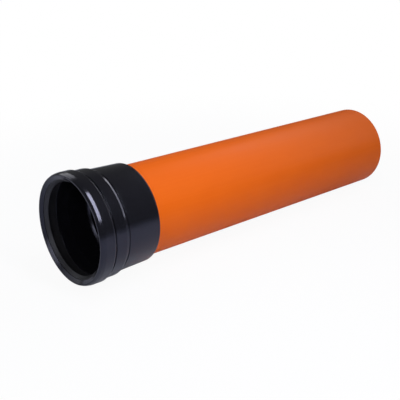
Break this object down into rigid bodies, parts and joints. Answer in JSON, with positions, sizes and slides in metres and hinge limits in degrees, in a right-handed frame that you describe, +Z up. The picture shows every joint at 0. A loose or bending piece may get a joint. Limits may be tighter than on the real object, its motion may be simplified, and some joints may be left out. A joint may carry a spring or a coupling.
{
  "type": "cable conduit",
  "caption": "Straight smooth orange plastic cable conduit with a black moulded push-fit socket, a rubber lip seal in the socket's mouth and a plain cut spigot end.",
  "frame": {"origin": "on the floor under the middle of the conduit's length, as it lies at rest", "axes": "+X along the conduit from the socket's mouth to the plain end, +Z up"},
  "size_m": [0.5017, 0.13, 0.1301],
  "materials": {
    "orange_pipe": "smooth extruded, satin sheen",
    "black_moulding": "moulded, semi-gloss",
    "seal_rubber": "matte moulded rubber"
  },
  "bodies": {
    "root": {"conduit_pipe": "orange_pipe", "socket": "black_moulding", "seal_ring": "seal_rubber"}
  },
  "joints": []
}
